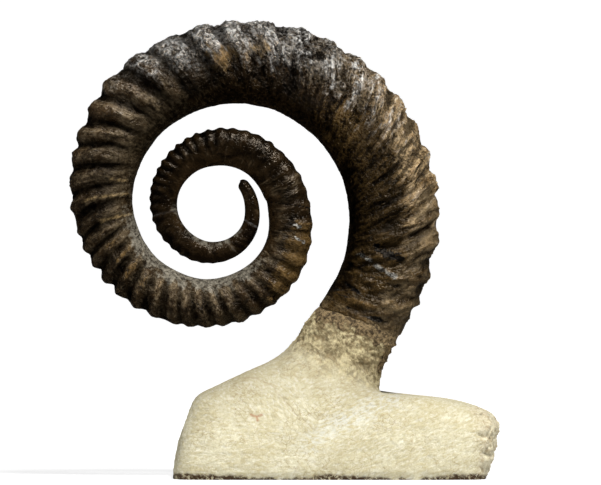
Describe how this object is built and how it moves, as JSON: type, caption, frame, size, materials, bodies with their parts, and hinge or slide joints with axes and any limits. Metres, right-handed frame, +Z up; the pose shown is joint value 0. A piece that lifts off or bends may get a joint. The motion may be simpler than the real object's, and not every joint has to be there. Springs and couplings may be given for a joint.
{
  "type": "ammonite fossil",
  "caption": "Open-coiled ammonite fossil: a dark ribbed shell in a flat spiral that rises from the pale limestone block it stands on.",
  "frame": {"origin": "middle of the whole object's box, on the flat foot that the stone stands on", "axes": "+Z up, the front that the picture shows faces -Y, the coil lies in the XZ plane and +X is the side of the stone's broken end"},
  "size_m": [0.1739, 0.0665, 0.1847],
  "materials": {
    "fossil_shell": "dark brown to black mineralised shell, fine grained with a dull to satin sheen",
    "limestone": "pale cream limestone, dry and matt, with tool marks and a rough broken end"
  },
  "bodies": {
    "root": {"ammonite_shell": "fossil_shell", "limestone_matrix": "limestone"}
  },
  "joints": []
}
